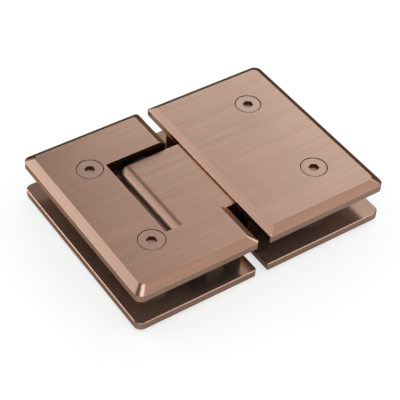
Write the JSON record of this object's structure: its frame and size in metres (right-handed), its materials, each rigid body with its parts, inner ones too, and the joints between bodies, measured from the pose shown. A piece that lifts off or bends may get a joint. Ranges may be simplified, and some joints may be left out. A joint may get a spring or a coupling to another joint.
{
  "type": "glass door hinge",
  "caption": "Brushed metal hinge that clamps two glass panels in line between bevelled plates and swings both ways about a spring-centred pivot block.",
  "frame": {"origin": "centre of the hinge's outline at the level of the outer faces of the back plates", "axes": "+X from the left leaf, which carries the pin, to the right leaf; +Y along the pivot pin; +Z from the back plates to the front plates"},
  "size_m": [0.1182, 0.09, 0.0232],
  "materials": {
    "rose_gold_plate": "brushed, rose gold plated",
    "rose_gold_screw": "brushed, rose gold plated",
    "steel": "machined",
    "sleeve_nylon": "natural nylon",
    "bush_nylon": "dark bearing nylon",
    "clear_gasket": "clear soft sheet"
  },
  "bodies": {
    "left_leaf": {"left_front_plate": "rose_gold_plate", "left_back_plate": "rose_gold_plate", "left_front_gasket": "clear_gasket", "left_back_gasket": "clear_gasket", "pivot_pin": "steel", "left_near_clamp_screw": "rose_gold_screw", "left_far_clamp_screw": "rose_gold_screw", "left_near_sleeve": "sleeve_nylon", "left_far_sleeve": "sleeve_nylon", "near_pin_screw": "steel", "far_pin_screw": "steel"},
    "right_leaf": {"right_front_plate": "rose_gold_plate", "right_back_plate": "rose_gold_plate", "pivot_block": "rose_gold_plate", "right_near_clamp_screw": "rose_gold_screw", "right_far_clamp_screw": "rose_gold_screw", "right_near_sleeve": "sleeve_nylon", "right_far_sleeve": "sleeve_nylon", "right_front_gasket": "clear_gasket", "right_back_gasket": "clear_gasket", "near_bush": "bush_nylon", "far_bush": "bush_nylon", "near_tension_screw": "steel", "far_tension_screw": "steel", "near_block_screw": "steel", "far_block_screw": "steel", "near_plunger": "steel", "far_plunger": "steel", "near_spring": "steel", "far_spring": "steel"}
  },
  "joints": [
    {"name": "door_swing", "type": "hinge", "parent": "left_leaf", "child": "right_leaf", "pos_m": [-0.01615, 0, 0.0116], "axis": [0, 1, 0], "range_deg": [-90, 90], "stiffness_Nm_per_rad": 1.5}
  ]
}
